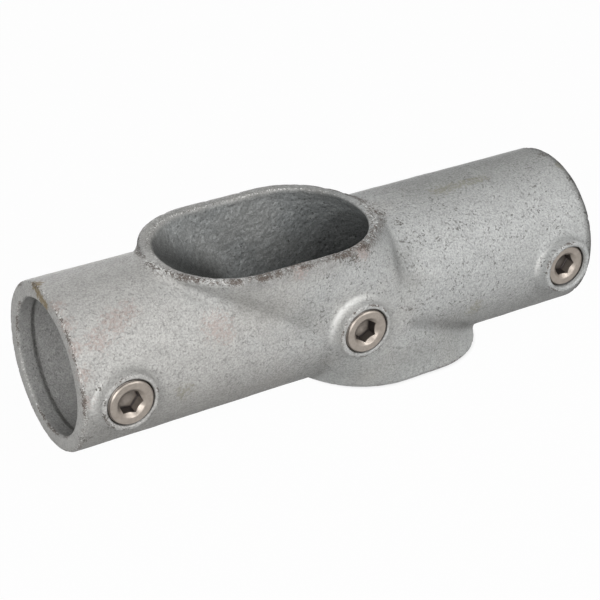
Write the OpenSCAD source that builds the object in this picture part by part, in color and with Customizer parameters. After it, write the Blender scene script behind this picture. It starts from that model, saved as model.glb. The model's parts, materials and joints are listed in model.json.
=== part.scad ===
// Two socket cross clamp for round tube. One iron casting carries a blind socket at each end
// and a slanted sleeve through its middle, and a set screw grips the tube in each of the three.
// X runs along the sockets, Z is up and the screws face -Y. The tubes' axes cross at the origin.

/* [Tube] */
// Outside diameter of the tubes that the clamp joins
tube_d = 48.3; // [42.4:0.1:52]
// Gap all round between a tube and its socket
socket_clearance = 0.45; // [0.2:0.05:0.5]

/* [Arms] */
// Length over the two socket mouths
body_length = 215; // [206:1:260]
// Wall of an arm at the rings that hold the tube
arm_wall = 5.9; // [4.5:0.1:8]
// Rounding of an arm's outer end edge
end_round = 1.6; // [0.5:0.1:3]
// Bevel at a socket's mouth
mouth_bevel = 0.8; // [0.3:0.1:1.5]
// Length of the close ring at a socket's mouth
mouth_ring = 6.2; // [3:0.1:8]
// Length of the close ring at a socket's inner end
seat_ring = 8; // [4:0.5:10]
// Depth of the cast relief between the two rings
relief = 1; // [0.4:0.1:2]

/* [Sleeve] */
// Lean from upright of the sleeve's left wall, for the flattest tube that passes
left_slant = 44; // [40:0.5:46]
// Lean from upright of the sleeve's right wall, for steeper tubes
right_slant = 37.5; // [34:0.5:39.5]
// Gap at each side between a tube and the sleeve
sleeve_clearance = 1.55; // [0.5:0.05:2.5]
// Distance between the centres of the sleeve's two round ends, half way up
slot_run = 23.2; // [18:0.2:28]
// How far right of the middle screw the sleeve's section is, half way up
sleeve_shift = 3; // [0:0.2:5]
// Wall of the sleeve
sleeve_wall = 5.8; // [4.8:0.1:8]
// How far each rim stands above the arms
rim_proud = 0.5; // [0.3:0.1:4]
// Rounding of a rim's outer edge
rim_round = 3.2; // [1.5:0.1:3.4]
// Bevel of a rim's inner edge
rim_bevel = 1.2; // [0.4:0.1:1.4]

/* [Screw bosses] */
// Diameter of a boss over its face
boss_d = 21; // [19:0.5:24]
// How far a boss stands out of the wall that carries it
boss_proud = 4.5; // [2.5:0.1:8]
// Rounding of a boss's face edge
boss_round = 1; // [0.3:0.1:1.4]
// Radius of the hollow fillet at a boss's foot
boss_fillet = 6; // [2:0.5:7]
// Distance from a socket's mouth to its screw
screw_inset = 15.2; // [14:0.1:20]

/* [Set screws] */
// Diameter over the thread
screw_d = 16.66; // [12:0.02:17]
// Gap all round between a screw and its tapped hole
screw_fit = 0.05; // [0.02:0.01:0.1]
// Length of a screw
screw_length = 8.5; // [7.5:0.1:10]
// Bevel at each end of the thread
thread_bevel = 0.7; // [0.3:0.1:1.2]
// Width across the flats of the hexagon socket
hex_width = 8; // [5:0.5:9]
// Depth of the hexagon socket
hex_depth = 5; // [3:0.1:5.5]
// Diameter of the bevel that leads into the hexagon
hex_lead_d = 10.8; // [9.2:0.1:12]
// Depth of the bevel that leads into the hexagon
hex_lead = 1.4; // [0.5:0.1:2]
// Diameter of the hollow cup at a screw's point
cup_d = 10; // [5:0.5:11]
// Depth of the hollow cup
cup_depth = 1.4; // [0.5:0.1:1.8]
// How far the left screw stands out of its boss
left_out = 0.4; // [-1.6:0.1:3]
// How far the middle screw stands out of its boss
middle_out = 0.3; // [-1.6:0.1:3]
// How far the right screw stands out of its boss
right_out = -1.6; // [-1.6:0.1:3]
// Turn of the left screw's hexagon
left_turn = 51; // [0:1:60]
// Turn of the middle screw's hexagon
middle_turn = 27; // [0:1:60]
// Turn of the right screw's hexagon
right_turn = 56; // [0:1:60]

/* [Hidden] */

$fn = 96;
// Facets of a rim's turn and of its rounded edge
rim_fn = 48;
edge_fn = 24;
// Steps along a rounded corner of a turned outline
arc_steps = 6;
// Overshoot of a cut beyond the face that it leaves through
over = 1;
// Thickness of the discs that span the leaning bar
slice = 0.02;

half_length = body_length / 2;
socket_r = tube_d / 2 + socket_clearance;
relief_r = socket_r + relief;
arm_r = socket_r + arm_wall;

slot_r = tube_d / 2 + sleeve_clearance;
sleeve_r = slot_r + sleeve_wall;
rim_z = arm_r + rim_proud;
// Centres of the round ends of the sleeve's section at a level
function left_end(z) = sleeve_shift - slot_run / 2 - tan(left_slant) * z;
function right_end(z) = sleeve_shift + slot_run / 2 - tan(right_slant) * z;
// The inner ring stops just before the sleeve's leaning walls enter the sockets.
wall_x = sleeve_r + max(-left_end(relief_r), right_end(-relief_r));
seat_gap = 1;
seat_x = wall_x + seat_gap;

boss_r = boss_d / 2;
// The fillet at a boss's foot leaves the upright side, turns this far and runs on into the wall.
foot_turn = 30;
foot_depth = 4.5;
foot_r = boss_r + boss_fillet * (1 - cos(foot_turn));
foot_h = boss_proud - boss_round - boss_fillet * sin(foot_turn);
foot_end_r = foot_r + (foot_h + foot_depth) * tan(foot_turn);

screw_r = screw_d / 2;
tapped_r = screw_r + screw_fit;
screw_x = half_length - screw_inset;
hex_corner_r = hex_width / sqrt(3);

iron = [0.66, 0.67, 0.68];
steel = [0.72, 0.67, 0.62];

// Points along an arc, from one angle to another
function arc(centre, r, from, to) =
    [for (i = [0:arc_steps])
        let (a = from + (to - from) * i / arc_steps)
        centre + r * [cos(a), sin(a)]];

// Lays a shape that was turned about Z along X
module along_x() {
    rotate([0, 90, 0])
        children();
}

// Points a shape that was turned about Z out of the front, at a place along the arms
module facing_front(x) {
    translate([x, 0, 0])
        rotate([90, 0, 0])
            children();
}

// Bar of the sleeve's oval section, which leans and gets shorter from the upper rim to the lower
module leaning_bar(r) {
    level = rim_z + over;
    hull()
        for (z = [-level, level], x = [left_end(z), right_end(z)])
            translate([x, 0, z])
                cylinder(h = slice, r = r, center = true);
}

// Solid of both arms, end to end
module arm_bar() {
    far_end = arc([arm_r - end_round, half_length - end_round], end_round, 0, 90);
    near_end = arc([arm_r - end_round, end_round - half_length], end_round, -90, 0);
    along_x()
        rotate_extrude()
            polygon(concat([[0, -half_length]], near_end, far_end, [[0, half_length]]));
}

// Disc with a fully round edge, for one round end of a rim
module rim_disc() {
    rotate_extrude($fn = rim_fn) {
        translate([0, -rim_round])
            square([sleeve_r - rim_round, 2 * rim_round]);
        translate([sleeve_r - rim_round, 0])
            circle(rim_round, $fn = edge_fn);
    }
}

// Solid of the sleeve, with rims that round over into the leaning walls
module sleeve_bar() {
    level = rim_z - rim_round;
    hull()
        for (z = [-level, level], x = [left_end(z), right_end(z)])
            translate([x, 0, z])
                rim_disc();
}

// Funnel that bevels the inner edge of the rim at a level
module rim_funnel(z) {
    hull()
        for (x = [left_end(z), right_end(z)])
            translate([x, 0, z])
                rotate([z > 0 ? 0 : 180, 0, 0])
                    translate([0, 0, -rim_bevel])
                        cylinder(h = rim_bevel + over, r1 = slot_r, r2 = slot_r + rim_bevel + over);
}

// Passage of the leaning tube, right through the casting
module sleeve_passage() {
    leaning_bar(slot_r);
    for (z = [-rim_z, rim_z])
        rim_funnel(z);
}

// Round hollow of one arm, with its two close rings and its cast relief
module arm_hollow() {
    rotate_extrude()
        polygon([
            [0, 0],
            [relief_r, 0],
            [relief_r, seat_x],
            [socket_r, seat_x],
            [socket_r, seat_x + seat_ring],
            [relief_r, seat_x + seat_ring],
            [relief_r, half_length - mouth_ring],
            [socket_r, half_length - mouth_ring],
            [socket_r, half_length - mouth_bevel],
            [socket_r + mouth_bevel + over, half_length + over],
            [0, half_length + over]
        ]);
}

// Blind sockets of both arms, closed by the sleeve's leaning walls
module sockets() {
    difference() {
        for (turn = [90, -90])
            rotate([0, turn, 0])
                arm_hollow();
        leaning_bar(sleeve_r);
    }
}

// Boss round a tapped hole, on a wall at a given distance from the axis
module screw_boss(wall) {
    face_edge = arc([boss_r - boss_round, wall + boss_proud - boss_round], boss_round, 90, 0);
    foot = arc([boss_r + boss_fillet, foot_h + wall + boss_fillet * sin(foot_turn)],
        boss_fillet, 180, 180 + foot_turn);
    rotate_extrude()
        polygon(concat([[0, wall + boss_proud]], face_edge, [for (i = [1:arc_steps]) foot[i]],
            [[foot_end_r, wall - foot_depth], [0, wall - foot_depth]]));
}

// Hole for a set screw, from the boss's face into the hollow behind the wall
module tapped_hole(wall, hollow) {
    translate([0, 0, hollow - over])
        cylinder(h = wall + boss_proud - hollow + 2 * over, r = tapped_r);
}

module clamp_casting() {
    color(iron)
        difference() {
            union() {
                arm_bar();
                sleeve_bar();
                for (side = [-1, 1])
                    facing_front(side * screw_x)
                        screw_boss(arm_r);
                facing_front(0)
                    screw_boss(sleeve_r);
            }
            sleeve_passage();
            sockets();
            for (side = [-1, 1])
                facing_front(side * screw_x)
                    tapped_hole(arm_r, relief_r - relief);
            facing_front(0)
                tapped_hole(sleeve_r, slot_r);
        }
}

// Headless screw with a hexagon socket in its face and a hollow cup at its point
module set_screw(x, face, turn) {
    point = face - screw_length;
    color(steel)
        facing_front(x)
            difference() {
                rotate_extrude()
                    polygon([
                        [0, point],
                        [screw_r - thread_bevel, point],
                        [screw_r, point + thread_bevel],
                        [screw_r, face - thread_bevel],
                        [screw_r - thread_bevel, face],
                        [0, face]
                    ]);
                translate([0, 0, face - hex_depth])
                    rotate(turn)
                        cylinder(h = hex_depth + over, r = hex_corner_r, $fn = 6);
                translate([0, 0, face - hex_lead])
                    cylinder(h = hex_lead, r1 = hex_width / 2, r2 = hex_lead_d / 2);
                translate([0, 0, point])
                    cylinder(h = cup_depth, r1 = cup_d / 2, r2 = 0);
            }
}

module left_set_screw() {
    set_screw(-screw_x, arm_r + boss_proud + left_out, left_turn);
}

module middle_set_screw() {
    set_screw(0, sleeve_r + boss_proud + middle_out, middle_turn);
}

module right_set_screw() {
    set_screw(screw_x, arm_r + boss_proud + right_out, right_turn);
}

clamp_casting();
left_set_screw();
middle_set_screw();
right_set_screw();
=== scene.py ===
import json
import math

import bpy
import numpy as np
from mathutils import Matrix, Vector


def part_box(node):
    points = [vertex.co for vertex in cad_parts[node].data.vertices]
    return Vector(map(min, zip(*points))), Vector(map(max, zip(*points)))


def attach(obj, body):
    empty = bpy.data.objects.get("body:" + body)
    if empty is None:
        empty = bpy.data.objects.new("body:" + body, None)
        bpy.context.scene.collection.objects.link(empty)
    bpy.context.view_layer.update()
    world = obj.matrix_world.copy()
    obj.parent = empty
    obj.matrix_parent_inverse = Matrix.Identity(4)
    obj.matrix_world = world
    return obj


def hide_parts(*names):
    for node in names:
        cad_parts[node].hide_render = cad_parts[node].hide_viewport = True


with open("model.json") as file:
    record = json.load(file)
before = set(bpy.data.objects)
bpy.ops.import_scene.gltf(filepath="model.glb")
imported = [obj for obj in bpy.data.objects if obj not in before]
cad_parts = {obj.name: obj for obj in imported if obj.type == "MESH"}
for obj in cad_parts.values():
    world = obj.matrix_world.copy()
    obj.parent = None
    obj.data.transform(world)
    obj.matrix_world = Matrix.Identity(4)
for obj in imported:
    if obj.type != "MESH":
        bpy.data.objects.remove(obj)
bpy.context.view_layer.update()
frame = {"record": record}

MM = 0.001
scene = bpy.context.scene
scene.view_settings.view_transform = "Standard"


# Camera, where the photograph was taken from

CAMERA_PLACE_MM = (-291.14, -460.24, 305.81)
CAMERA_RIGHT = Vector((0.85282, -0.52210, 0.00995))
CAMERA_FORWARD = Vector((0.45775, 0.73826, -0.49541))
CAMERA_LENS_MM = 101.281
SENSOR_WIDTH_MM = 36.0
NEAREST_SHOWN_M = 0.01


def place_camera():
    data = bpy.data.cameras.new("camera")
    data.lens = CAMERA_LENS_MM
    data.sensor_width = SENSOR_WIDTH_MM
    data.clip_start = NEAREST_SHOWN_M
    camera = bpy.data.objects.new("camera", data)
    forward = CAMERA_FORWARD.normalized()
    right = CAMERA_RIGHT.normalized()
    up = right.cross(forward).normalized()
    turn = Matrix((right, up, -forward)).transposed().to_4x4()
    camera.matrix_world = Matrix.Translation(Vector(CAMERA_PLACE_MM) * MM) @ turn
    scene.collection.objects.link(camera)
    scene.camera = camera


place_camera()


# Sizes in millimetres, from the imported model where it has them

def box_mm(node):
    low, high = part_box(node)
    return np.array(low) / MM, np.array(high) / MM


def mount(name):
    return next(m for m in frame["record"]["mounts"] if m["name"] == name)


casting_low, casting_high = box_mm("clamp_casting")
HALF_LENGTH = casting_high[0]
RIM_Z = casting_high[2]
SLEEVE_R = casting_high[1]
RIM_PROUD = 0.5
ARM_R = RIM_Z - RIM_PROUD
SOCKET_R = mount("right_socket")["dims"]["r_mm"]
RELIEF = 1.0
RELIEF_R = SOCKET_R + RELIEF
SEAT_X = mount("right_socket")["pos_m"][0] / MM
SEAT_RING = mount("right_socket")["dims"]["length_mm"]
MOUTH_RING = 6.2
SLEEVE_WALL = 5.8
SLOT_R = SLEEVE_R - SLEEVE_WALL
# The sleeve's oval section half way up, and how far its end walls lean for each millimetre of height
SLOT_RUN = 23.2
SLEEVE_SHIFT = 3.0
sleeve_axis = mount("sleeve")["axis"]
LEFT_LEAN = -sleeve_axis[0] / sleeve_axis[2]
RIGHT_SLANT = math.radians(37.5)
RIGHT_LEAN = math.tan(RIGHT_SLANT)

END_ROUND = 1.2
RIM_ROUND = 3.2
# The sleeve's lip is crisp at the back and worn round, and a little flared, at the front.
LIP_ROUND = 0.9
FRONT_LIP_ROUND = 3.2
FRONT_FLARE = 1.2
FLARE_FROM_Z = 19.0
MOUTH_ROUND = 0.9
SLEEVE_BLEND = 2.6
SOCKET_END_ROUND = 2.5
# How a fillet's size follows the angle between its faces
FILLET_FULL = 0.6
FILLET_FALL = 1.3
# Least length and least slope that anything is divided by
TINY = 1e-3
LEAST_SLOPE = 1e-6
BOSS_R = 10.5
BOSS_PROUD = 4.5
BOSS_ROUND = 0.9
BOSS_BLEND = 2.6
BOSS_DRAFT = 0.08

SCREWS = ("left_set_screw", "middle_set_screw", "right_set_screw")
BOSS_FACE = {
    "left_set_screw": ARM_R + BOSS_PROUD,
    "middle_set_screw": SLEEVE_R + BOSS_PROUD,
    "right_set_screw": ARM_R + BOSS_PROUD,
}


def screw_x(screw):
    low, high = box_mm(screw)
    return (low[0] + high[0]) / 2


screw_low, screw_high = box_mm("middle_set_screw")
SCREW_R = (screw_high[2] - screw_low[2]) / 2
SCREW_LENGTH = screw_high[1] - screw_low[1]
HOLE_GAP = 0.25
HOLE_R = SCREW_R + HOLE_GAP
HOLE_LEAD = 0.5


# The casting as a distance field: negative inside the iron, with every edge and corner rounded

def joined(a, b, r):
    """Two solids together, with a hollow fillet of about radius r where they meet."""
    bridge = np.hypot(np.maximum(r - a, 0), np.maximum(r - b, 0))
    return np.maximum(r, np.minimum(a, b)) - bridge


def shared(a, b, r):
    """What two solids share, with its edge rounded to radius r."""
    edge = np.hypot(np.maximum(r + a, 0), np.maximum(r + b, 0))
    return np.minimum(-r, np.maximum(a, b)) + edge


def sleeve_ends(z):
    """Where the sleeve's section has the centres of its two round ends, at a level."""
    left = SLEEVE_SHIFT - SLOT_RUN / 2 - LEFT_LEAN * z
    right = SLEEVE_SHIFT + SLOT_RUN / 2 - RIGHT_LEAN * z
    return left, right


def leaning_bar(x, y, z, half_width):
    """Distance to the bar of the sleeve's oval section, which leans, and the way out of it."""
    left, right = sleeve_ends(z)
    past_run = np.minimum(x - left, 0) + np.maximum(x - right, 0)
    lean = np.where(past_run < 0, LEFT_LEAN, RIGHT_LEAN)
    reach = np.maximum(np.hypot(past_run, y), TINY)
    way_out = (past_run / reach, y / reach, lean * past_run / reach)
    steep = np.sqrt(1 + way_out[2] ** 2)
    return (reach - half_width) / steep, [part / steep for part in way_out]


def fillet_for(way_a, way_b, radius):
    """Fillet where two faces meet: full where they meet square, none where they run side by side."""
    cosine = sum(a * b for a, b in zip(way_a, way_b))
    return radius * np.clip((1 - cosine) / FILLET_FULL, 0, 1) ** FILLET_FALL


def step(t, at, soft=0.8):
    """0 before a place and 1 after it."""
    return np.clip((t - at) / (2 * soft) + 0.5, 0, 1)


def socket_hollow(x, radius, sleeve_wall):
    """Both sockets: a close ring at the mouth, a cast relief, a close ring at the seat."""
    along = np.abs(x)
    close = step(along, HALF_LENGTH - MOUTH_RING)
    close = close + step(along, SEAT_X) - step(along, SEAT_X + SEAT_RING)
    wall_r = RELIEF_R + (SOCKET_R - RELIEF_R) * close
    return shared(radius - wall_r, -sleeve_wall, SOCKET_END_ROUND)


def casting_field(x, y, z):
    radius = np.maximum(np.hypot(y, z), TINY)
    arms = shared(radius - ARM_R, np.abs(x) - HALF_LENGTH, END_ROUND)
    sleeve_wall, wall_out = leaning_bar(x, y, z, SLEEVE_R)
    sleeve = shared(sleeve_wall, np.abs(z) - RIM_Z, RIM_ROUND)
    on_wall = np.maximum(RIM_ROUND + sleeve_wall, 0)
    on_rim = np.maximum(RIM_ROUND + np.abs(z) - RIM_Z, TINY)
    rim_out = (0, 0, np.sign(z))
    sleeve_out = [on_wall * a + on_rim * b for a, b in zip(wall_out, rim_out)]
    length = np.maximum(np.sqrt(sum(part ** 2 for part in sleeve_out)), TINY)
    sleeve_out = [part / length for part in sleeve_out]
    body = joined(arms, sleeve, fillet_for((0, y / radius, z / radius), sleeve_out, SLEEVE_BLEND))
    holes = []
    for screw in SCREWS:
        off_axis = np.hypot(x - screw_x(screw), z)
        face = BOSS_FACE[screw]
        side = off_axis - BOSS_R - BOSS_DRAFT * (y + face)
        boss = shared(side, np.maximum(-y - face, y + face - 2 * BOSS_R), BOSS_ROUND)
        body = joined(body, boss, BOSS_BLEND)
        holes.append(np.maximum(off_axis - HOLE_R, y))
    passage, passage_out = leaning_bar(x, y, z, SLOT_R)
    at_front = np.clip(-passage_out[1], 0, 1)
    flare = FRONT_FLARE * at_front * np.clip((np.abs(z) - FLARE_FROM_Z) / (RIM_Z - FLARE_FROM_Z), 0, 1)
    lip_round = LIP_ROUND + (FRONT_LIP_ROUND - LIP_ROUND) * at_front
    body = shared(body, flare - passage, lip_round)
    body = shared(body, -socket_hollow(x, radius, sleeve_wall), MOUTH_ROUND)
    for hole in holes:
        body = shared(body, -hole, HOLE_LEAD)
    return body


def field_slope(points, gap=0.05):
    """Field at points, the way in which it rises there, and how steeply."""
    p = points.T
    value = casting_field(*p)
    slope = np.empty_like(points)
    for axis in range(3):
        ahead, behind = p.copy(), p.copy()
        ahead[axis] += gap
        behind[axis] -= gap
        slope[:, axis] = (casting_field(*ahead) - casting_field(*behind)) / (2 * gap)
    size = np.linalg.norm(slope, axis=1, keepdims=True)
    return value, slope, np.maximum(size, LEAST_SLOPE)


def skin_of_field(low, high, pitch):
    """Vertices and quads of the field's zero surface, one vertex in each cell that it crosses."""
    axes = [np.arange(a, b + pitch, pitch) for a, b in zip(low, high)]
    grid = np.meshgrid(*axes, indexing="ij", sparse=True)
    value = casting_field(*grid)
    inside = value < 0
    cells = tuple(n - 1 for n in value.shape)
    total = np.zeros(cells + (3,))
    count = np.zeros(cells)
    corners = [(i, j, k) for i in (0, 1) for j in (0, 1) for k in (0, 1)]

    def at(array, corner):
        return array[tuple(slice(c, c + n) for c, n in zip(corner, cells))]

    for corner in corners:
        for axis in range(3):
            if corner[axis]:
                continue
            other = tuple(c + (n == axis) for n, c in enumerate(corner))
            a, b = at(value, corner), at(value, other)
            crossed = (a < 0) != (b < 0)
            share = np.where(crossed, a / np.where(crossed, a - b, 1), 0)
            count += crossed
            for n in range(3):
                total[..., n] += np.where(crossed, corner[n] + (share if n == axis else 0), 0)
    used = count > 0
    index = np.full(cells, -1)
    index[used] = np.arange(used.sum())
    where = np.argwhere(used)
    vertices = np.array(low) + (where + total[used] / count[used][:, None]) * pitch

    quads = []
    for axis in range(3):
        b, c = (axis + 1) % 3, (axis + 2) % 3
        here = [slice(None)] * 3
        ahead = [slice(None)] * 3
        here[axis], ahead[axis] = slice(0, -1), slice(1, None)
        for n in (b, c):
            here[n] = ahead[n] = slice(1, -1)
        first, second = inside[tuple(here)], inside[tuple(ahead)]
        for flipped, mask in ((False, first & ~second), (True, ~first & second)):
            spot = np.argwhere(mask)
            ring = []
            for db, dc in ((0, 0), (1, 0), (1, 1), (0, 1)):
                cell = spot.copy()
                cell[:, b] += db
                cell[:, c] += dc
                ring.append(index[cell[:, 0], cell[:, 1], cell[:, 2]])
            ring = np.stack(ring, 1)
            quads.append(ring[:, ::-1] if flipped else ring)
    return vertices, np.concatenate(quads)


NOISE_CELLS = 48
NOISE_SHIFT = 1000.0


def noise(points, size, seed):
    """Smooth noise from -1 to 1 whose lumps are about size across."""
    lattice = np.random.default_rng(seed).uniform(-1, 1, (NOISE_CELLS,) * 3)
    place = points / size + NOISE_SHIFT
    base = np.floor(place).astype(int)
    part = place - base
    part = part * part * (3 - 2 * part)
    result = np.zeros(len(points))
    for corner in np.ndindex(2, 2, 2):
        weight = np.prod(np.where(corner, part, 1 - part), axis=1)
        cell = (base + corner) % NOISE_CELLS
        result += weight * lattice[cell[:, 0], cell[:, 1], cell[:, 2]]
    return result


def new_piece(name, vertices, faces):
    mesh = bpy.data.meshes.new(name)
    mesh.from_pydata((vertices * MM).tolist(), [], faces)
    piece = bpy.data.objects.new(name, mesh)
    scene.collection.objects.link(piece)
    return piece


def vertices_mm(mesh):
    flat = np.empty(len(mesh.vertices) * 3)
    mesh.vertices.foreach_get("co", flat)
    return flat.reshape(-1, 3) / MM


def smooth(mesh):
    mesh.polygons.foreach_set("use_smooth", np.ones(len(mesh.polygons), bool))


def add_mask(mesh, name, values):
    mask = mesh.attributes.new(name, "FLOAT", "POINT")
    mask.data.foreach_set("value", np.asarray(values, float))


# The casting's skin

SKIN_PITCH = 0.62
SKIN_TRIANGLES = 190000
SKIN_MARGIN = 1.5
SETTLE_STEP = 0.5
SETTLE_ROUNDS = 3
# How far the sand mould leaves the skin uneven: height and size of the lumps
SWELLS = ((0.10, 11.0), (0.05, 4.0), (0.035, 1.7))
SLEEVE_LUMPS = (0.22, 2.3)
EDGE_DENTS = (0.35, 1.9)
# How steeply a dent's side falls, and how much of the noise stays without dents
DENT_STEEP = 2
DENT_START = 0.6
SLEEVE_SEED = 6
DENT_SEED = 7


def settle(points):
    """Moves points onto the field's zero surface."""
    for _ in range(SETTLE_ROUNDS):
        value, slope, size = field_slope(points)
        points = points - np.clip(value[:, None] / size, -SETTLE_STEP, SETTLE_STEP) * slope / size
    return points


def near(distance, reach):
    """1 at a place, falling to 0 about reach away from it."""
    return np.exp(-(distance / reach) ** 2)


def beyond(value, start, width):
    """0 up to a value, rising to 1 over a width."""
    return np.clip((value - start) / width, 0, 1)


# How far wear, bare metal with painted highlight, and dirt reach from the edges that they follow
EDGE_WEAR = 2.0
MOUTH_WEAR = 1.4
LIP_WEAR = 0.9
# Middle of the worn band, pitted and with painted glints, along each front lip: below the rim's top and out
# from the passage's wall
FRONT_LIP_DOWN = 0.6
FRONT_LIP_OUT = 3.0
FRONT_LIP_WEAR = 2.2
BOSS_WEAR = 1.3
# How deep the layer is that counts as the skin of a hollow, and as the skin of an arm
INNER_LAYER = 0.7
OUTER_LAYER = 1.2
# How strongly an edge is pitted, rubbed bright with painted highlight, or darkened by dirt and painted
# shade, next to the strongest
LIP_PITTED = 0.8
MOUTH_RUBBED_HIGHLIT = 0.8
END_RUBBED_HIGHLIT = 0.8
BOSS_RUBBED_HIGHLIT = 0.7
FRONT_LIP_RUBBED_HIGHLIT = 0.9
SKYLINE_SHARE = 0.75

# Middle and reach of each stain on the skin, and of each patch of painted shade
STAINS = {
    "pink_stain": (
        (-90, -20, 23, 8), (-98, -23, 20, 7), (-84, -18, 24, 6), (-55, -27, 14, 9),
        (-106, -10, 29, 5), (-106, -17, 25, 5), (-106, -23, 19, 5), (-106, -28, 11, 5), (-106, -30, 2, 4),
        (-25, -31, 29, 5), (1, -30, 29, 6), (-53, -28, 11, 6),
    ),
    "yellow_stain": ((-107, 5, 30, 3), (-107, 2, 28, 3), (-107, -1, 27, 3), (-107, -4, 26, 3)),
    "olive_smudge": ((-70, -30, -5, 6), (53, -29, -9, 6), (106, -9, 29, 4)),
    "dark_pits": (
        (-39, -31, 30, 3), (-35, -31, 30, 3), (-29, -31, 30, 3), (-8, -31, 30, 4), (-3, -31, 28, 4),
        (4, -29, 30, 4), (21, -13, 29, 4), (23, -9, 29, 4), (27, -14, 27, 3), (39, -22, 21, 2),
        (104, 0, 30, 4), (106, -16, 26, 3), (106, -22, 21, 3), (-97, -29, -11, 3), (-101, -30, 6, 3),
        (-106, -26, -14, 4), (-101, -35, -6, 3), (-99, -35, -8, 3), (-102, -35, -2, 3), (-95, -35, -10, 3),
        (-102, -35, 3, 2),
    ),
    "smudge": ((-43, -27, 19, 7), (-36, -29, 16, 7), (-23, -31, 10, 7), (23, -24, 19, 6), (24, -29, 10, 5)),
}
# Both ends and reach of each stain, and of each band of painted shade, that runs along the skin
STREAKS = {
    "olive_smudge": (((50, -5, 30), (72, -5, 30), 4),),
    "smudge": (((44, 0, 30), (104, 3, 30), 10), ((-8, -31, -20), (44, -29, -21), 9)),
    "crease_dirt": (
        ((-44, -30, 30), (0, -30, 30), 3.2), ((0, -30, 30), (16, -20, 30), 3.2),
        ((24, -31, -6), (58, -23, -22), 2.6), ((17, -15, 28), (20, -28, 14), 3.5),
    ),
}
# Dirt and painted shade along the right end's outer edge
RIGHT_EDGE_DIRT_AND_SHADE = 2.2
# The far rim's skyline, in from its outer wall and down from its top, and the dirt and painted shade along
# it
SKYLINE_IN = 1.3
SKYLINE_DOWN = 0.6
SKYLINE_DIRT_AND_SHADE = 0.9
BACK_RIM_FROM = 10.0
# Painted shadow in both ends of the sleeve's hollow: the left one's upper edge falls to the right
HOLLOW_X = -50.0
HOLLOW_TOP = 28.5
HOLLOW_SLOPE = 0.77
HOLLOW_END = -12.0
HOLLOW_FALL = 9.0
# The right one's edge leans with the height.
RIGHT_HOLLOW_X = 14.0
RIGHT_HOLLOW_SLOPE = 0.25
RIGHT_HOLLOW_FALL = 2.4
RIGHT_HOLLOW_SHARE = 0.36
# Painted shade on the arms, darker towards the bottom, from this level down over this fall
UNDERSIDE_FROM = 0.0
UNDERSIDE_FALL = 26.0
# Painted highlight arc on the upper left of each boss
SHINE_R = 12.2
SHINE_WIDTH = 0.9


def to_streak(points, start, end):
    """Distance from points to the straight line between two places."""
    start, run = np.array(start, float), np.subtract(end, start)
    share = np.clip((points - start) @ run / max(run @ run, TINY), 0, 1)
    return np.linalg.norm(points - start - share[:, None] * run, axis=1)


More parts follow.
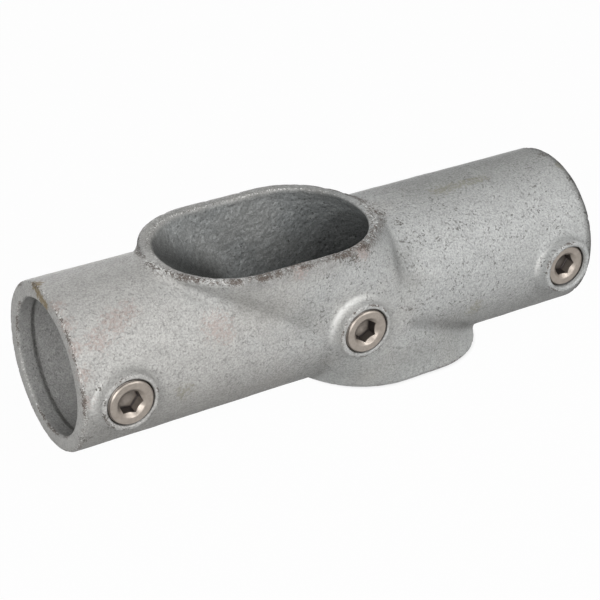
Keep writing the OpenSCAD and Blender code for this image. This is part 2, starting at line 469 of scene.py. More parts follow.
def place_masks(points):
    """Where the casting's skin is worn, rubbed bright, stained, given painted highlight or painted shade,
    or inside, by name.
    """
    x, y, z = points.T
    radius = np.hypot(y, z)
    outer_wall, _ = leaning_bar(x, y, z, SLEEVE_R)
    passage, _ = leaning_bar(x, y, z, SLOT_R)
    past_end = np.abs(x) - HALF_LENGTH
    past_rim = np.abs(z) - RIM_Z
    rim_turn = RIM_ROUND / 3
    end_edge = near(np.hypot(past_end, radius - ARM_R), EDGE_WEAR)
    mouth_edge = near(np.hypot(past_end, radius - SOCKET_R), MOUTH_WEAR)
    rim_edge = near(np.hypot(past_rim + rim_turn, outer_wall + rim_turn), EDGE_WEAR)
    lip_edge = near(np.hypot(past_rim, passage), LIP_WEAR)
    to_front_lip = np.hypot(past_rim + FRONT_LIP_DOWN, passage - FRONT_LIP_OUT)
    front_lip = near(to_front_lip, FRONT_LIP_WEAR) * (y < 0)
    boss_edge = np.zeros(len(points))
    boss_shine = np.zeros(len(points))
    for screw in SCREWS:
        across = x - screw_x(screw)
        off_axis = np.hypot(across, z)
        to_edge = np.hypot(off_axis - BOSS_R, y + BOSS_FACE[screw])
        boss_edge = np.maximum(boss_edge, near(to_edge, BOSS_WEAR))
        upper_left = np.clip((z - across) / (off_axis * math.sqrt(2) + TINY), 0, 1) ** 2
        shine = near(off_axis - SHINE_R, SHINE_WIDTH) * upper_left * (y < -ARM_R)
        boss_shine = np.maximum(boss_shine, shine)
    right_edge = near(np.hypot(x - HALF_LENGTH, radius - ARM_R), RIGHT_EDGE_DIRT_AND_SHADE)
    at_back = beyond(y, 0, BACK_RIM_FROM) * (z > 0)
    back_edge = near(np.hypot(past_rim + SKYLINE_DOWN, outer_wall + SKYLINE_IN), SKYLINE_DIRT_AND_SHADE)
    back_rim = beyond(past_rim, -RIM_ROUND, RIM_ROUND / 2) * beyond(passage, -INNER_LAYER, INNER_LAYER)
    in_arm = beyond(RELIEF_R - radius, -INNER_LAYER, INNER_LAYER / 2)
    clear_of_ends = beyond(-past_end, INNER_LAYER, INNER_LAYER)
    in_passage = beyond(-passage, -INNER_LAYER, INNER_LAYER / 2)
    # Painted shadow at the hollow's lower left and at its right end
    left_shadow = beyond(HOLLOW_TOP - HOLLOW_SLOPE * (x - HOLLOW_X) - z, 0, HOLLOW_FALL)
    left_shadow = left_shadow * beyond(HOLLOW_END - x, 0, 2 * HOLLOW_FALL)
    right_of_edge = x - RIGHT_HOLLOW_X - RIGHT_HOLLOW_SLOPE * z
    right_shadow = RIGHT_HOLLOW_SHARE * beyond(right_of_edge, 0, RIGHT_HOLLOW_FALL)
    pitted = (end_edge, mouth_edge, rim_edge, boss_edge, LIP_PITTED * lip_edge, front_lip)
    rubbed_and_highlit = (
        lip_edge, MOUTH_RUBBED_HIGHLIT * mouth_edge, END_RUBBED_HIGHLIT * end_edge,
        BOSS_RUBBED_HIGHLIT * boss_edge, FRONT_LIP_RUBBED_HIGHLIT * front_lip,
    )
    masks = {
        "worn_edge": np.maximum.reduce(pitted),
        "rubbed_edge": np.maximum.reduce(rubbed_and_highlit),
        "dark_edge": np.maximum(right_edge, SKYLINE_SHARE * back_edge * at_back),
        "back_rim": back_rim * at_back,
        "front_lip": front_lip * (z > 0),
        "dark_hollow": np.maximum(left_shadow, right_shadow),
        "underside": beyond(-z, UNDERSIDE_FROM, UNDERSIDE_FALL) * near(radius - ARM_R, OUTER_LAYER),
        "boss_shine": boss_shine,
        "in_sleeve": in_passage * beyond(-past_rim, INNER_LAYER, 2 * INNER_LAYER),
        "in_socket": in_arm * clear_of_ends * beyond(outer_wall, -INNER_LAYER, INNER_LAYER / 2),
    }
    for name in dict.fromkeys([*STAINS, *STREAKS]):
        streaks = [(spot[:3], spot[:3], spot[3]) for spot in STAINS.get(name, ())]
        streaks += STREAKS.get(name, ())
        shares = [near(to_streak(points, start, end), reach) for start, end, reach in streaks]
        masks[name] = np.maximum.reduce(shares)
    return masks


def uneven(points):
    """Points of the skin, moved in and out as the sand mould left them."""
    _, slope, size = field_slope(points)
    masks = place_masks(points)
    rise = sum(height * noise(points, width, seed) for seed, (height, width) in enumerate(SWELLS))
    lump_height, lump_size = SLEEVE_LUMPS
    rise += lump_height * masks["in_sleeve"] * noise(points, lump_size, SLEEVE_SEED)
    dent_depth, dent_size = EDGE_DENTS
    dents = np.clip(noise(points, dent_size, DENT_SEED) * DENT_STEEP - DENT_START, 0, 1)
    rise -= dent_depth * masks["worn_edge"] * dents
    return points + slope / size * rise[:, None]


def cast_body():
    low = casting_low - SKIN_MARGIN
    high = casting_high + SKIN_MARGIN
    vertices, quads = skin_of_field(low, high, SKIN_PITCH)
    piece = new_piece("clamp_body", uneven(settle(vertices)), quads.tolist())
    thin = piece.modifiers.new("thin", "DECIMATE")
    thin.ratio = SKIN_TRIANGLES / (2 * len(quads))
    shown = piece.evaluated_get(bpy.context.evaluated_depsgraph_get())
    mesh = bpy.data.meshes.new_from_object(shown)
    piece.modifiers.clear()
    piece.data = mesh
    for name, mask in place_masks(vertices_mm(mesh)).items():
        add_mask(mesh, name, mask)
    smooth(mesh)
    return piece


# Set screws

THREAD_PITCH = 1.337
THREAD_DEPTH = 0.7
THREAD_BEVEL = 0.7
HEX_WIDTH = 8.0
HEX_DEPTH = 5.0
HEX_LEAD_R = 5.4
LEAD_ROUND = 0.35
DRILL_R = 3.2
DRILL_SLOPE = 0.35
CUP_R = 5.0
CUP_DEPTH = 1.4
HEX_TURN = {"left_set_screw": 51, "middle_set_screw": 27, "right_set_screw": 56}
# How dark the painted shade makes the floor and each wall of a hexagon, lit walls lightest, the walls
# counted round from its turn
FLOOR_SHADE = {"left_set_screw": 0.3, "middle_set_screw": 0.35, "right_set_screw": 0.8}
WALL_SHADE = {
    "left_set_screw": (0.6, 0.6, 0.9, 1.0, 0.4, 0.75),
    "middle_set_screw": (0.6, 0.6, 0.9, 0.9, 0.8, 1.0),
    "right_set_screw": (0.6, 0.6, 0.9, 1.0, 0.4, 0.85),
}
WALL_SOFT = 0.5
CORNER_STRIP = 0.15
# Painted shade lies on this side of the bevel that leads into each hexagon.
SHADED_SIDE = math.radians(135)
# How far out on a hexagon's floor its painted corner shade starts, and how dark the painted shade makes the
# bevel
CORNER_FROM = 0.9
LEAD_SHADE = 0.4
# How the thread's groove falls from its crest
GROOVE_STEEP = 1.25
CREST_SHARE = 0.2
SCREW_SEGMENTS = 144
STEPS_PER_THREAD = 8
# Rings of a screw's skin: how far out they are on the floor and in the cup, and how many lie elsewhere
FLOOR_RINGS = (0.2, 0.4, 0.6, 0.8, 0.97)
CUP_RINGS = (0.97, 0.7, 0.4, 0.1)
WALL_RINGS = 7
LEAD_RINGS = 7
LEAD_FIRST = 0.1
LEAD_EDGE_RINGS = 6
LEAD_EDGE_FIRST = 0.15
FACE_RINGS = 6
FACE_GAP = 0.15
THREAD_GAP = 0.1
POINT_RINGS = 4
CREASE_ANGLE = math.radians(32)


def hexagon_reach(angle, turn):
    """Distance from a screw's axis to its hexagon's wall."""
    off_flat = (angle - turn) % (math.pi / 3) - math.pi / 6
    return HEX_WIDTH / 2 / np.cos(off_flat)


def screw_rings(turn):
    """Radius and depth below the screw's face of each ring, from the hexagon's floor round to the cup."""
    angle = turn + np.arange(SCREW_SEGMENTS) * 2 * math.pi / SCREW_SEGMENTS
    flat = np.ones(SCREW_SEGMENTS)
    hexagon = hexagon_reach(angle, turn)
    lead_end = HEX_LEAD_R - hexagon
    rings = []
    for share in FLOOR_RINGS:
        reach = hexagon * share
        rings.append((reach, HEX_DEPTH + DRILL_SLOPE * np.maximum(DRILL_R - reach, 0)))
    for share in np.linspace(0, 1, WALL_RINGS):
        rings.append((hexagon, HEX_DEPTH - CORNER_STRIP + (lead_end - HEX_DEPTH + CORNER_STRIP) * share))
    for share in np.linspace(LEAD_FIRST, 1, LEAD_RINGS):
        depth = lead_end + (LEAD_ROUND - lead_end) * share
        rings.append((HEX_LEAD_R - depth, depth))
    for share in np.linspace(LEAD_EDGE_FIRST, 1, LEAD_EDGE_RINGS):
        reach = HEX_LEAD_R + LEAD_ROUND * (2 * share - 1)
        rings.append((reach * flat, LEAD_ROUND * (1 - share) ** 2 * flat))
    for reach in np.linspace(HEX_LEAD_R + LEAD_ROUND + FACE_GAP, SCREW_R - THREAD_BEVEL, FACE_RINGS):
        rings.append((reach * flat, 0 * flat))
    steps = int(SCREW_LENGTH / THREAD_PITCH * STEPS_PER_THREAD)
    for depth in np.linspace(THREAD_GAP, SCREW_LENGTH - THREAD_GAP, steps):
        phase = (depth / THREAD_PITCH + angle / (2 * math.pi)) % 1
        groove = np.clip(np.abs(2 * phase - 1) * GROOVE_STEEP - CREST_SHARE, 0, 1)
        to_end = min(depth, SCREW_LENGTH - depth)
        reach = np.minimum(SCREW_R - THREAD_DEPTH * groove, SCREW_R - THREAD_BEVEL + to_end)
        rings.append((reach, depth * flat))
    for reach in np.linspace(SCREW_R - THREAD_BEVEL, CUP_R, POINT_RINGS):
        rings.append((reach * flat, SCREW_LENGTH * flat))
    for share in CUP_RINGS:
        rings.append((CUP_R * share * flat, (SCREW_LENGTH - CUP_DEPTH * (1 - share)) * flat))
    return angle, np.array(rings)


def set_screw(node):
    face = box_mm(node)[0][1]
    turn = math.radians(HEX_TURN[node])
    angle, rings = screw_rings(turn)
    reach, depth = rings[:, 0], rings[:, 1]
    hexagon = hexagon_reach(angle, turn)
    wall_shade = np.repeat(WALL_SHADE[node], SCREW_SEGMENTS // len(WALL_SHADE[node]))
    on_wall = np.clip((depth - HEX_LEAD_R + hexagon) / WALL_SOFT, 0, 1) * (reach < hexagon + TINY)
    in_hexagon = np.where(on_wall * (depth >= HEX_DEPTH), FLOOR_SHADE[node], on_wall * wall_shade)
    in_corner = (depth > HEX_DEPTH - 2 * CORNER_STRIP) * (reach > hexagon * CORNER_FROM)
    in_hexagon = np.maximum(in_hexagon, in_corner).ravel()
    x = screw_x(node) + reach * np.cos(angle)
    z = reach * np.sin(angle)
    vertices = np.stack([x, face + depth, z], axis=-1).reshape(-1, 3)
    faces = []
    count = SCREW_SEGMENTS
    for ring in range(len(rings) - 1):
        for n in range(count):
            a, b = ring * count + n, ring * count + (n + 1) % count
            faces.append((a, b, b + count, a + count))
    faces.append(tuple(reversed(range(count))))
    last = (len(rings) - 1) * count
    faces.append(tuple(range(last, last + count)))
    piece = new_piece(node.replace("set_screw", "grub_screw"), vertices, faces)
    mesh = piece.data
    smooth(mesh)
    mesh.set_sharp_from_angle(angle=CREASE_ANGLE)
    reach, depth = reach.ravel(), depth.ravel()
    in_hexagon = in_hexagon * (depth < SCREW_LENGTH - CUP_DEPTH)
    to_shade = np.cos(np.tile(angle, len(rings)) - SHADED_SIDE)
    lead_shade = np.clip(to_shade, 0, 1) * np.clip((HEX_LEAD_R + LEAD_ROUND - reach) / LEAD_ROUND, 0, 1)
    in_thread = np.clip((SCREW_R - reach) / THREAD_DEPTH, 0, 1) * (depth > THREAD_BEVEL)
    in_thread = in_thread * (reach > CUP_R)
    # Painted shade in the hexagon, its corners, the bevel's shaded side and the thread's grooves
    add_mask(mesh, "recess", np.maximum.reduce([in_hexagon, in_thread, LEAD_SHADE * lead_shade]))
    add_mask(mesh, "off_axis", reach)
    return piece


# Shader nodes

def put(tree, kind, inputs=None, **settings):
    node = tree.nodes.new(kind)
    for name, value in settings.items():
        setattr(node, name, value)
    for name, value in (inputs or {}).items():
        if isinstance(value, bpy.types.NodeSocket):
            tree.links.new(value, node.inputs[name])
        else:
            node.inputs[name].default_value = value
    return node


def reckon(tree, operation, *values):
    node = put(tree, "ShaderNodeMath", dict(enumerate(values)), operation=operation)
    return node.outputs[0]


def times(tree, a, b):
    return reckon(tree, "MULTIPLY", a, b)


def blend(tree, share, a, b, mode="MIX"):
    inputs = {0: share, 6: a, 7: b}
    node = put(tree, "ShaderNodeMix", inputs, data_type="RGBA", blend_type=mode)
    return node.outputs[2]


def ramp(tree, value, low, high, start=0.0, end=1.0):
    inputs = {0: value, 1: low, 2: high, 3: start, 4: end}
    node = put(tree, "ShaderNodeMapRange", inputs, interpolation_type="SMOOTHSTEP")
    return node.outputs[0]


def mask_of(tree, name):
    return put(tree, "ShaderNodeAttribute", attribute_name=name).outputs["Fac"]


def object_place(tree):
    return put(tree, "ShaderNodeTexCoord").outputs["Object"]


def lumps(tree, size, detail=3.0, roughness=0.55, shift=0.0):
    """Noise from 0 to 1 whose lumps are about size millimetres across."""
    place = object_place(tree)
    if shift:
        place = put(tree, "ShaderNodeVectorMath", {0: place, 1: (shift, shift, shift)}).outputs[0]
    scale = 1 / (size * MM)
    inputs = {"Vector": place, "Scale": scale, "Detail": detail, "Roughness": roughness}
    return put(tree, "ShaderNodeTexNoise", inputs).outputs[0]


def new_group(name, inputs, outputs):
    tree = bpy.data.node_groups.new(name, "ShaderNodeTree")
    for label, value in inputs.items():
        socket = tree.interface.new_socket(label, in_out="INPUT", socket_type="NodeSocketFloat")
        socket.default_value = value
    for label in outputs:
        tree.interface.new_socket(label, in_out="OUTPUT", socket_type="NodeSocketFloat")
    start = put(tree, "NodeGroupInput").outputs
    end = put(tree, "NodeGroupOutput").inputs
    return tree, start, end


# The skin's pattern: how far the mottle spreads, where specks are let in, how each one fades out from
# its middle line, how deep it sinks, and how far aside the noise is that lets it in
MOTTLE_SPAN = (0.32, 0.68)
SPECKS_LET_IN = (0.78, 0.86)
SPECK_FADE = (0.4, 1.0, 1.0, 0.0)
SPECK_SINK = 0.6
SPECK_ASIDE = (0.31, 0.17, 0.23)
NOISE_MIDDLE = 0.5
# Level of the noise, with its mask added, above which there is grime
GRIME_FROM = 0.86


def grain_group():
    """Mottled skin: light and dark lumps, and scattered specks of many sizes."""
    tree, start, end = new_group(
        "mottled_skin",
        {"Lumps per metre": 800.0, "Specks per metre": 420.0, "Speck share": 0.2, "Speck size": 0.08},
        ("Mottle", "Specks", "Height"),
    )
    place = object_place(tree)
    fine = put(tree, "ShaderNodeTexNoise", {
        "Vector": place, "Scale": start["Lumps per metre"], "Detail": 4.0, "Roughness": 0.65,
    }).outputs[0]
    aside = put(tree, "ShaderNodeVectorMath", {0: place, 1: SPECK_ASIDE}).outputs[0]
    wave = put(tree, "ShaderNodeTexNoise", {
        "Vector": place, "Scale": start["Specks per metre"], "Detail": 1.0,
    }).outputs[0]
    gate = put(tree, "ShaderNodeTexNoise", {
        "Vector": aside, "Scale": start["Specks per metre"], "Detail": 2.0,
    }).outputs[0]
    off_line = reckon(tree, "ABSOLUTE", reckon(tree, "SUBTRACT", wave, NOISE_MIDDLE))
    off_line = reckon(tree, "DIVIDE", off_line, start["Speck size"])
    chosen = ramp(tree, reckon(tree, "ADD", gate, start["Speck share"]), *SPECKS_LET_IN)
    specks = times(tree, chosen, ramp(tree, off_line, *SPECK_FADE))
    tree.links.new(ramp(tree, fine, *MOTTLE_SPAN), end["Mottle"])
    tree.links.new(specks, end["Specks"])
    lowered = times(tree, specks, SPECK_SINK)
    tree.links.new(reckon(tree, "SUBTRACT", fine, lowered), end["Height"])
    return tree


def grime_group():
    """Patchy dark dirt that gathers where its mask is high."""
    tree, start, end = new_group(
        "gathered_grime",
        {"Where": 0.0, "Patches per metre": 300.0, "Amount": 0.5, "Softness": 0.12},
        ("Grime",),
    )
    patches = put(tree, "ShaderNodeTexNoise", {
        "Vector": object_place(tree), "Scale": start["Patches per metre"],
        "Detail": 4.0, "Roughness": 0.65,
    }).outputs[0]
    level = times(tree, start["Where"], start["Amount"])
    raised = reckon(tree, "ADD", patches, level)
    faint = reckon(tree, "SUBTRACT", GRIME_FROM, start["Softness"])
    full = reckon(tree, "ADD", GRIME_FROM, start["Softness"])
    tree.links.new(ramp(tree, raised, faint, full), end["Grime"])
    return tree


mottled_skin = grain_group()
gathered_grime = grime_group()


def new_material(name):
    material = bpy.data.materials.new(name)
    material.use_nodes = True
    tree = material.node_tree
    tree.nodes.clear()
    shader = put(tree, "ShaderNodeBsdfPrincipled")
    put(tree, "ShaderNodeOutputMaterial", {"Surface": shader.outputs[0]})
    return material, tree, shader


def placed_group(tree, group, inputs):
    return put(tree, "ShaderNodeGroup", inputs, node_tree=group).outputs


ZINC_PALE = (0.445, 0.445, 0.438, 1)
ZINC_DARK = (0.305, 0.305, 0.300, 1)
CLOUD_PALE = (1.045, 1.045, 1.045, 1)
CLOUD_DARK = (0.945, 0.945, 0.945, 1)
WARM_TINT = (1.012, 1.0, 0.98, 1)
COOL_TINT = (0.985, 1.0, 1.0, 1)
PAINTED_HIGHLIGHT = (0.68, 0.68, 0.66, 1)
# Painted shade inside the sleeve, darker further down
SLEEVE_TOP_SHADE = (0.62, 0.64, 0.65, 1)
SLEEVE_DEEP_SHADE = (0.57, 0.585, 0.59, 1)
HOLLOW_SHADOW = (0.13, 0.135, 0.135, 1)
SLEEVE_DEPTHS = (-6.0, 20.0)
# Painted shade inside the sockets, a little bluish
SOCKET_SHADE = (0.89, 0.895, 0.905, 1)
BACK_RIM_SHADE = (0.74, 0.74, 0.735, 1)
GLINT = (0.85, 0.85, 0.83, 1)
SPECK_DARK = (0.13, 0.127, 0.12, 1)
PIT_DARK = (0.15, 0.147, 0.14, 1)
RUST_DARK = (0.085, 0.066, 0.055, 1)
YELLOW_BROWN = (0.19, 0.145, 0.075, 1)
OLIVE_GREY = (0.205, 0.195, 0.135, 1)
PINK_BROWN = (0.33, 0.265, 0.24, 1)
STAIN_DARK = (0.09, 0.082, 0.072, 1)
PAINTED_SHADE_TONE = (0.80, 0.80, 0.79, 1)
EDGE_SHADE = (0.15, 0.145, 0.14, 1)
CREASE_SHADE = (0.66, 0.66, 0.66, 1)
UNDERSIDE_SHADE = (0.58, 0.57, 0.555, 1)
CREVICE_SHADOW = (0.03, 0.024, 0.020, 1)
DARK_EDGE = (0.35, 0.35, 0.35, 1)

# Painted shadow ring in the gap round each screw, painted shadow line at the step in each socket, hooked
# mark in the skin
GAP_RING = 0.6
GAP_LIFT = 0.25
STEP_LINE = 0.75
HOOK_CENTRE = (24.0, 9.0)
HOOK_RADIUS = 9.2
HOOK_WIDTH = 0.8
HOOK_TOP = 3.4
FRONT_Y = -25.0
SUNK_FACE = box_mm(SCREWS[2])[0][1]


def place_in_mm(tree):
    inputs = {0: object_place(tree), "Scale": 1 / MM}
    scaled = put(tree, "ShaderNodeVectorMath", inputs, operation="SCALE").outputs[0]
    return put(tree, "ShaderNodeSeparateXYZ", {0: scaled}).outputs


def length_of(tree, a, b):
    """Length of the slant over two sides that meet square."""
    return reckon(tree, "SQRT", reckon(tree, "ADD", times(tree, a, a), times(tree, b, b)))


def distance_to(tree, x, z, x_centre, z_centre):
    across = reckon(tree, "SUBTRACT", x, x_centre)
    up = reckon(tree, "SUBTRACT", z, z_centre)
    return length_of(tree, across, up)


def gap_ring(tree):
    """1 in the gap round a screw and on the edge of its hole, where shadow is painted."""
    x, y, z = place_in_mm(tree)
    from_outer = reckon(tree, "SUBTRACT", reckon(tree, "ABSOLUTE", x), abs(screw_x(SCREWS[0])))
    nearest = reckon(tree, "MINIMUM", reckon(tree, "ABSOLUTE", from_outer), reckon(tree, "ABSOLUTE", x))
    off_axis = distance_to(tree, nearest, z, 0.0, GAP_LIFT)
    ring = ramp(tree, off_axis, HOLE_R, HOLE_R + GAP_RING, 1.0, 0.0)
    at_right = reckon(tree, "GREATER_THAN", x, screw_x(SCREWS[2]) / 2)
    face = ramp(tree, at_right, 0, 1, -2 * ARM_R, SUNK_FACE)
    below_face = reckon(tree, "GREATER_THAN", y, face)
    in_front = reckon(tree, "LESS_THAN", y, FRONT_Y)
    return times(tree, ring, times(tree, below_face, in_front))


def step_line(tree):
    """1 along the step between a socket's mouth ring and its relief, where shadow is painted."""
    along = reckon(tree, "ABSOLUTE", place_in_mm(tree)["X"])
    from_step = reckon(tree, "SUBTRACT", along, HALF_LENGTH - MOUTH_RING - STEP_LINE / 2)
    line = ramp(tree, reckon(tree, "ABSOLUTE", from_step), STEP_LINE / 2, STEP_LINE * 1.5, 1.0, 0.0)
    return times(tree, line, mask_of(tree, "in_socket"))


def hooked_mark(tree):
    """1 along a hooked hairline in the front of the skin, right of the middle screw."""
    x, y, z = place_in_mm(tree)
    off_line = reckon(tree, "SUBTRACT", distance_to(tree, x, z, *HOOK_CENTRE), HOOK_RADIUS)
    line = ramp(tree, reckon(tree, "ABSOLUTE", off_line), 0.0, HOOK_WIDTH, 1.0, 0.0)
    line = times(tree, line, reckon(tree, "LESS_THAN", z, HOOK_TOP))
    return times(tree, line, reckon(tree, "LESS_THAN", y, FRONT_Y))


# Ramps over the skin: from and to in what they follow, then what they give at both ends
TINT_WANDERS = (0.3, 0.7, -40.0, 40.0)
TINT_TURNS = (-70.0, 50.0)
GRIT_IN_PATCHES = (0.36, 0.62, 0.2, 1.0)
GRIT_TO_THE_RIGHT = (0.1, 0.7, 0.28, 0.85)
GRIT_TO_THE_TOP = (-26.0, -8.0, 0.45, 1.0)
GLINTS_ON_LIP = (0.7, 0.95, 0.0, 0.45)
PITS_IN_CLUSTERS = (0.36, 0.64, 0.45, 1.15)
HOOK_IN_DASHES = (0.48, 0.6, 0.0, 0.8)
SKIN_ROUGHNESS = (0, 1, 0.62, 0.46)

# How strongly a mark covers the zinc where it is full
SHINE_COVER = 0.8
GLINT_COVER = 0.4
GLINTS_IN_SOCKET = 0.5
RUBBED_HIGHLIGHT_COVER = 0.8
PIT_COVER = 0.85
STEP_COVER = 0.3
GAP_COVER = 0.92

# Sizes in millimetres of what the noise makes, and shifts in metres that keep its patterns apart
TINT_LUMPS = {"size": 22, "shift": 0.3}
GRIT_LUMPS = {"size": 9, "shift": 0.7}
PIT_LUMPS = {"size": 6, "shift": 0.2}
HOOK_LUMPS = {"size": 1.0}
SLEEVE_BUMPS = {"size": 1.9, "shift": 0.9}
# Heights of the relief in metres
GRAIN_HEIGHT = 0.00022
SLEEVE_HEIGHT = 0.0008

# Colour, patches per metre, amount, softness and cover of each stain
STAIN_LOOKS = {
    "pink_stain": (PINK_BROWN, 1000.0, 0.42, 0.12, 0.6),
    "yellow_stain": (YELLOW_BROWN, 900.0, 0.6, 0.12, 0.95),
    "olive_smudge": (OLIVE_GREY, 700.0, 0.42, 0.12, 0.5),
    "dark_pits": (STAIN_DARK, 1600.0, 0.39, 0.05, 0.9),
}


def grain(tree, lumps_per_metre, specks_per_metre, speck_share, speck_size):
    return placed_group(tree, mottled_skin, {
        "Lumps per metre": lumps_per_metre, "Specks per metre": specks_per_metre,
        "Speck share": speck_share, "Speck size": speck_size,
    })


def grime(tree, where, per_metre, amount, softness):
    return placed_group(tree, gathered_grime, {
        "Where": where, "Patches per metre": per_metre, "Amount": amount, "Softness": softness,
    })["Grime"]


def shaded(tree, zinc, mask, shade):
    """Zinc, darker by a shade where its mask is high."""
    return blend(tree, mask_of(tree, mask), zinc, shade, "MULTIPLY")


def galvanised_iron():
    material, tree, shader = new_material("galvanised_iron_skin")
    fine = grain(tree, lumps_per_metre=1500.0, specks_per_metre=900.0, speck_share=0.22, speck_size=0.10)
    broad = grain(tree, lumps_per_metre=210.0, specks_per_metre=480.0, speck_share=0.15, speck_size=0.08)
    zinc = blend(tree, fine["Mottle"], ZINC_DARK, ZINC_PALE)
    zinc = blend(tree, 1.0, zinc, blend(tree, broad["Mottle"], CLOUD_DARK, CLOUD_PALE), "MULTIPLY")
    x, _, z = place_in_mm(tree)
    wander = ramp(tree, lumps(tree, **TINT_LUMPS), *TINT_WANDERS)
    rightward = ramp(tree, reckon(tree, "ADD", x, wander), *TINT_TURNS)
    tint = blend(tree, rightward, WARM_TINT, COOL_TINT)
    zinc = blend(tree, 1.0, zinc, tint, "MULTIPLY")
    # Painted shade under the front lip, beside the right crease, along the right arm's top and along the
    # lower bulge
    zinc = shaded(tree, zinc, "smudge", PAINTED_SHADE_TONE)
    # Painted shade along the creases and under the front lip
    zinc = shaded(tree, zinc, "crease_dirt", CREASE_SHADE)
    # Painted shade on the arms' undersides
    zinc = shaded(tree, zinc, "underside", UNDERSIDE_SHADE)
    # Painted highlight on the upper left of each boss
    zinc = blend(tree, times(tree, mask_of(tree, "boss_shine"), SHINE_COVER), zinc, PAINTED_HIGHLIGHT)

    gritty = ramp(tree, lumps(tree, **GRIT_LUMPS), *GRIT_IN_PATCHES)
    gritty = times(tree, gritty, ramp(tree, rightward, *GRIT_TO_THE_RIGHT))
    gritty = times(tree, gritty, ramp(tree, z, *GRIT_TO_THE_TOP))
    zinc = blend(tree, times(tree, fine["Specks"], gritty), zinc, SPECK_DARK)
    zinc = blend(tree, times(tree, broad["Specks"], gritty), zinc, PIT_DARK)
    for name, (colour, per_metre, amount, softness, cover) in STAIN_LOOKS.items():
        stain = grime(tree, mask_of(tree, name), per_metre, amount, softness)
        zinc = blend(tree, times(tree, stain, cover), zinc, colour)

    # Painted shade inside the sockets
    zinc = shaded(tree, zinc, "in_socket", SOCKET_SHADE)
    zinc = shaded(tree, zinc, "back_rim", BACK_RIM_SHADE)
    in_sleeve = mask_of(tree, "in_sleeve")
    in_socket = times(tree, mask_of(tree, "in_socket"), GLINTS_IN_SOCKET)
    inside = reckon(tree, "MAXIMUM", in_sleeve, in_socket)
    # Painted glints inside the sleeve and the sockets
    glints = grain(tree, lumps_per_metre=400.0, specks_per_metre=520.0, speck_share=0.24, speck_size=0.10)
    glints = times(tree, glints["Specks"], inside)
    zinc = blend(tree, times(tree, glints, GLINT_COVER), zinc, PAINTED_HIGHLIGHT)
    # Painted shade inside the sleeve, darker further down
    sleeve = blend(tree, ramp(tree, z, *SLEEVE_DEPTHS), SLEEVE_DEEP_SHADE, SLEEVE_TOP_SHADE)
    # Painted shadow in the ends of the sleeve's hollow
    sleeve = blend(tree, mask_of(tree, "dark_hollow"), sleeve, HOLLOW_SHADOW)
    zinc = blend(tree, in_sleeve, zinc, sleeve, "MULTIPLY")

    # Rubbed bare zinc along the edges, partly painted highlight
    rubbed_and_highlit = grime(tree, mask_of(tree, "rubbed_edge"), per_metre=1500.0, amount=0.34, softness=0.06)
    zinc = blend(tree, times(tree, rubbed_and_highlit, RUBBED_HIGHLIGHT_COVER), zinc, GLINT)
    on_lip = mask_of(tree, "front_lip")
    lip = grain(tree, lumps_per_metre=900.0, specks_per_metre=800.0, speck_share=0.3, speck_size=0.14)
    # Painted glints along the front lip, between its pits
    zinc = blend(tree, times(tree, on_lip, ramp(tree, lip["Mottle"], *GLINTS_ON_LIP)), zinc, GLINT)
    lip_pits = times(tree, on_lip, times(tree, lip["Specks"], PIT_COVER))
    zinc = blend(tree, lip_pits, zinc, RUST_DARK)
    clusters = ramp(tree, lumps(tree, **PIT_LUMPS), *PITS_IN_CLUSTERS)
    worn = times(tree, mask_of(tree, "worn_edge"), clusters)
    pits = grime(tree, worn, per_metre=1800.0, amount=0.39, softness=0.05)
    zinc = blend(tree, times(tree, pits, PIT_COVER), zinc, RUST_DARK)
    # Dirt and painted shade along the right end's edge and the far rim's skyline
    zinc = shaded(tree, zinc, "dark_edge", EDGE_SHADE)

    dashes = ramp(tree, lumps(tree, **HOOK_LUMPS), *HOOK_IN_DASHES)
    zinc = blend(tree, times(tree, hooked_mark(tree), dashes), zinc, STAIN_DARK)
    zinc = blend(tree, times(tree, step_line(tree), STEP_COVER), zinc, CREVICE_SHADOW)
    zinc = blend(tree, times(tree, gap_ring(tree), GAP_COVER), zinc, CREVICE_SHADOW)
    tree.links.new(zinc, shader.inputs["Base Color"])
    shader.inputs["Metallic"].default_value = 0.12
    shader.inputs["Specular IOR Level"].default_value = 0.25
    shader.inputs["Specular Tint"].default_value = DARK_EDGE
    tree.links.new(ramp(tree, fine["Mottle"], *SKIN_ROUGHNESS), shader.inputs["Roughness"])
    relief = put(tree, "ShaderNodeBump", {
        "Height": fine["Height"], "Strength": 1.0, "Distance": GRAIN_HEIGHT,
    })
    rough = put(tree, "ShaderNodeBump", {
        "Height": times(tree, lumps(tree, **SLEEVE_BUMPS), in_sleeve),
        "Strength": 1.0, "Distance": SLEEVE_HEIGHT, "Normal": relief.outputs[0],
    })
    tree.links.new(rough.outputs[0], shader.inputs["Normal"])
    return material


STEEL_PALE = (0.322, 0.283, 0.246, 1)
STEEL_DARK = (0.267, 0.234, 0.204, 1)
HEXAGON_DARK = (0.035, 0.029, 0.027, 1)
OIL_DARK = (0.04, 0.034, 0.03, 1)
STEEL_ROUGHNESS = (0, 1, 0.42, 0.34)
OIL_COVER = 0.5
# Turning marks across a screw's face: how close they are, how strongly they show, how deep they are
TURNING_MARKS_PER_MM = 18.0
TURNING_STRENGTH = 0.3
TURNING_DEPTH = 0.00002


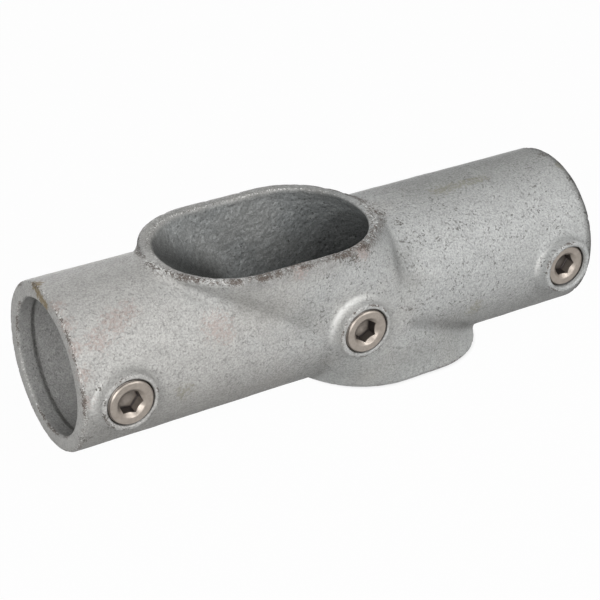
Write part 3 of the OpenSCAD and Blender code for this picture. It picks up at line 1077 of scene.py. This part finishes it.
def screw_steel():
    material, tree, shader = new_material("screw_steel_turned")
    skin = grain(tree, lumps_per_metre=700.0, specks_per_metre=900.0, speck_share=0.1, speck_size=0.06)
    recess = mask_of(tree, "recess")
    steel = blend(tree, skin["Mottle"], STEEL_DARK, STEEL_PALE)
    # Painted shade in the hexagons and the thread's grooves
    steel = blend(tree, recess, steel, HEXAGON_DARK)
    oil = grime(tree, recess, per_metre=350.0, amount=0.3, softness=0.12)
    steel = blend(tree, times(tree, oil, OIL_COVER), steel, OIL_DARK)
    tree.links.new(steel, shader.inputs["Base Color"])
    shader.inputs["Metallic"].default_value = 0.55
    tree.links.new(ramp(tree, skin["Mottle"], *STEEL_ROUGHNESS), shader.inputs["Roughness"])
    wave = reckon(tree, "SINE", times(tree, mask_of(tree, "off_axis"), TURNING_MARKS_PER_MM))
    relief = put(tree, "ShaderNodeBump", {
        "Height": wave, "Strength": TURNING_STRENGTH, "Distance": TURNING_DEPTH,
    })
    tree.links.new(relief.outputs[0], shader.inputs["Normal"])
    return material


body = cast_body()
body.data.materials.append(galvanised_iron())
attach(body, "casting")
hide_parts("clamp_casting")

steel = screw_steel()
for node in SCREWS:
    screw = set_screw(node)
    screw.data.materials.append(steel)
    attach(screw, node.replace("_set", ""))
    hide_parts(node)


# Studio: pale floor that shows white, four softboxes round the part, low light from all round

FLOOR_SIZE = 8.0
PAPER_PALE = (0.5, 0.5, 0.5, 1)
WHITE = (1, 1, 1, 1)
FLOOR_GLOW = 0.975
SOFTBOX_SIZE = 0.7
SOFTBOX_DISTANCE = 1.3
ROOM_LEVEL = 0.12


def seen_directly(tree):
    """1 for rays that show the background, straight, in a reflection or through something clear."""
    path = put(tree, "ShaderNodeLightPath").outputs
    shown = reckon(tree, "MAXIMUM", path["Is Camera Ray"], path["Is Glossy Ray"])
    return reckon(tree, "MAXIMUM", shown, path["Is Transmission Ray"])


def bare_share(tree):
    """How white the floor shows: less under the sleeve, where the part keeps the light off it."""
    left, right = sleeve_ends(-RIM_Z)
    x, y, _ = put(tree, "ShaderNodeSeparateXYZ", {0: object_place(tree)}).outputs
    off_middle = reckon(tree, "ABSOLUTE", reckon(tree, "SUBTRACT", x, (left + right) / 2 * MM))
    past_run = reckon(tree, "SUBTRACT", off_middle, (right - left) / 2 * MM)
    past_run = reckon(tree, "MAXIMUM", past_run, 0.0)
    reach = length_of(tree, past_run, y)
    return ramp(tree, reach, SLOT_R * MM, SLEEVE_R * MM, 0.0, FLOOR_GLOW)


def pale_floor():
    half = FLOOR_SIZE / 2 / MM
    z = casting_low[2]
    corners = np.array([(-half, -half, z), (half, -half, z), (half, half, z), (-half, half, z)])
    floor = new_piece("floor", corners, [(0, 1, 2, 3)])
    material = bpy.data.materials.new("pale_floor")
    material.use_nodes = True
    tree = material.node_tree
    tree.nodes.clear()
    paper = put(tree, "ShaderNodeBsdfDiffuse", {"Color": PAPER_PALE}).outputs[0]
    glow = put(tree, "ShaderNodeEmission", {"Color": WHITE, "Strength": 1.0}).outputs[0]
    white = put(tree, "ShaderNodeMixShader", {0: bare_share(tree), 1: paper, 2: glow}).outputs[0]
    shown = put(tree, "ShaderNodeMixShader", {0: seen_directly(tree), 1: paper, 2: white}).outputs[0]
    below = put(tree, "ShaderNodeNewGeometry").outputs["Backfacing"]
    clear = put(tree, "ShaderNodeBsdfTransparent").outputs[0]
    shown = put(tree, "ShaderNodeMixShader", {0: below, 1: shown, 2: clear}).outputs[0]
    put(tree, "ShaderNodeOutputMaterial", {"Surface": shown})
    floor.data.materials.append(material)


def room_light():
    world = bpy.data.worlds.new("studio")
    world.use_nodes = True
    tree = world.node_tree
    tree.nodes.clear()
    level = ramp(tree, seen_directly(tree), 0, 1, ROOM_LEVEL, 1.0)
    room = put(tree, "ShaderNodeBackground", {"Color": WHITE, "Strength": level}).outputs[0]
    put(tree, "ShaderNodeOutputWorld", {"Surface": room})
    scene.world = world


def soft_light(name, bearing, height, power):
    """Softbox aimed at the part, by its bearing from the front and its height, both in degrees."""
    around = math.radians(bearing)
    up = math.radians(height)
    away = Vector((math.sin(around) * math.cos(up), -math.cos(around) * math.cos(up), math.sin(up)))
    data = bpy.data.lights.new(name, "AREA")
    data.shape = "SQUARE"
    data.size = SOFTBOX_SIZE
    data.energy = power
    lamp = bpy.data.objects.new(name, data)
    lamp.location = away * SOFTBOX_DISTANCE
    lamp.rotation_euler = (-away).to_track_quat("-Z", "Y").to_euler()
    scene.collection.objects.link(lamp)


pale_floor()
room_light()
soft_light("left_softbox", bearing=-50, height=22, power=11.8)
soft_light("front_softbox", bearing=10, height=30, power=6.0)
soft_light("right_softbox", bearing=40, height=42, power=7.0)
soft_light("back_softbox", bearing=172, height=6, power=9.0)
